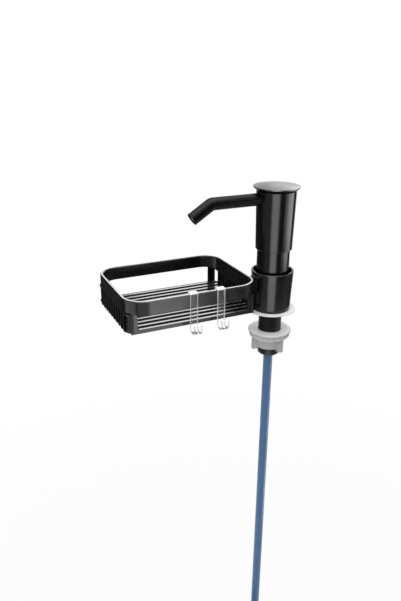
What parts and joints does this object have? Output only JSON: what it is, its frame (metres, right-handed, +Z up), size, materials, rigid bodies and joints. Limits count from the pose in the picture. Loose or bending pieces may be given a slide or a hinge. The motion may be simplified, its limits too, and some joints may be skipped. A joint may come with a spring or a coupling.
{
  "type": "soap pump caddy",
  "caption": "Deck-mounted soap pump with a bent spout, a swivelling slatted sponge basket, clear rim hooks, a clamp nut and a long draw hose.",
  "frame": {"origin": "shank axis at the deck's upper surface, the underside of the gasket", "axes": "+Z up along the shank, -X along the spout and the basket's length, +Y to the basket's back"},
  "size_m": [0.1967, 0.1315, 0.714],
  "materials": {
    "black_gloss": "gloss",
    "black_cap": "satin",
    "black_band": "satin with bright edges",
    "black_tray": "satin",
    "black_plastic": "satin",
    "grey_plastic": "matte",
    "seal_white": "matte",
    "seal_rubber": "matte",
    "clear_acrylic": "clear",
    "pump_plastic": "natural",
    "steel": "bright",
    "blue_hose": "translucent blue",
    "tie_plastic": "matte"
  },
  "bodies": {
    "base": {"neck_sleeve": "black_gloss", "threaded_shank": "black_plastic", "gasket": "seal_white", "pump_cylinder": "pump_plastic", "inlet_cage": "pump_plastic", "guide_ring": "pump_plastic", "return_spring": "steel", "hose_coupling": "black_plastic", "hose_drop": "blue_hose", "hose_coil": "blue_hose", "coil_tie": "tie_plastic", "foot_valve": "pump_plastic"},
    "basket": {"collar": "black_gloss", "basket_band": "black_band", "slat_tray": "black_tray", "tray_screws": "black_band", "collar_screws": "black_band"},
    "left_hook": {"hook_left": "clear_acrylic"},
    "right_hook": {"hook_right": "clear_acrylic"},
    "plunger": {"stem": "pump_plastic", "piston": "pump_plastic", "piston_seal": "seal_rubber"},
    "head": {"head_body": "black_gloss", "outlet_block": "pump_plastic", "head_cap": "black_cap", "spout": "black_gloss", "spout_liner": "pump_plastic"},
    "lower_ball": {"inlet_ball": "steel"},
    "upper_ball": {"outlet_ball": "steel"},
    "washer": {"nut_washer": "grey_plastic"},
    "nut": {"wing_nut": "grey_plastic"}
  },
  "joints": [
    {"name": "basket_swivel", "type": "hinge", "parent": "base", "child": "basket", "pos_m": [0, 0, 0], "axis": [0, 0, 1], "continuous": true},
    {"name": "left_hook_slide", "type": "slide", "parent": "basket", "child": "left_hook", "axis": [1, 0, 0], "range_m": [-0.04, 0.009]},
    {"name": "right_hook_slide", "type": "slide", "parent": "basket", "child": "right_hook", "axis": [1, 0, 0], "range_m": [-0.009, 0.018]},
    {"name": "pump_press", "type": "slide", "parent": "base", "child": "plunger", "axis": [0, 0, -1], "range_m": [0, 0.018], "stiffness_N_per_m": 300, "springref_m": -0.02, "deforming": ["return_spring"]},
    {"name": "head_swivel", "type": "hinge", "parent": "plunger", "child": "head", "pos_m": [0, 0, 0.1], "axis": [0, 0, 1], "continuous": true},
    {"name": "inlet_ball_lift", "type": "slide", "parent": "base", "child": "lower_ball", "axis": [0, 0, 1], "range_m": [0, 0.002]},
    {"name": "outlet_ball_lift", "type": "slide", "parent": "plunger", "child": "upper_ball", "axis": [0, 0, 1], "range_m": [0, 0.0015]},
    {"name": "nut_travel", "type": "slide", "parent": "base", "child": "washer", "axis": [0, 0, 1], "range_m": [-0.022, 0.024]},
    {"name": "nut_turn", "type": "hinge", "parent": "washer", "child": "nut", "pos_m": [0, 0, 0], "axis": [0, 0, 1], "range_deg": [-3200, 3490]}
  ],
  "couplings": [
    {"joint": "nut_turn", "follows": "nut_travel", "rad_per_m": 2513.3}
  ]
}
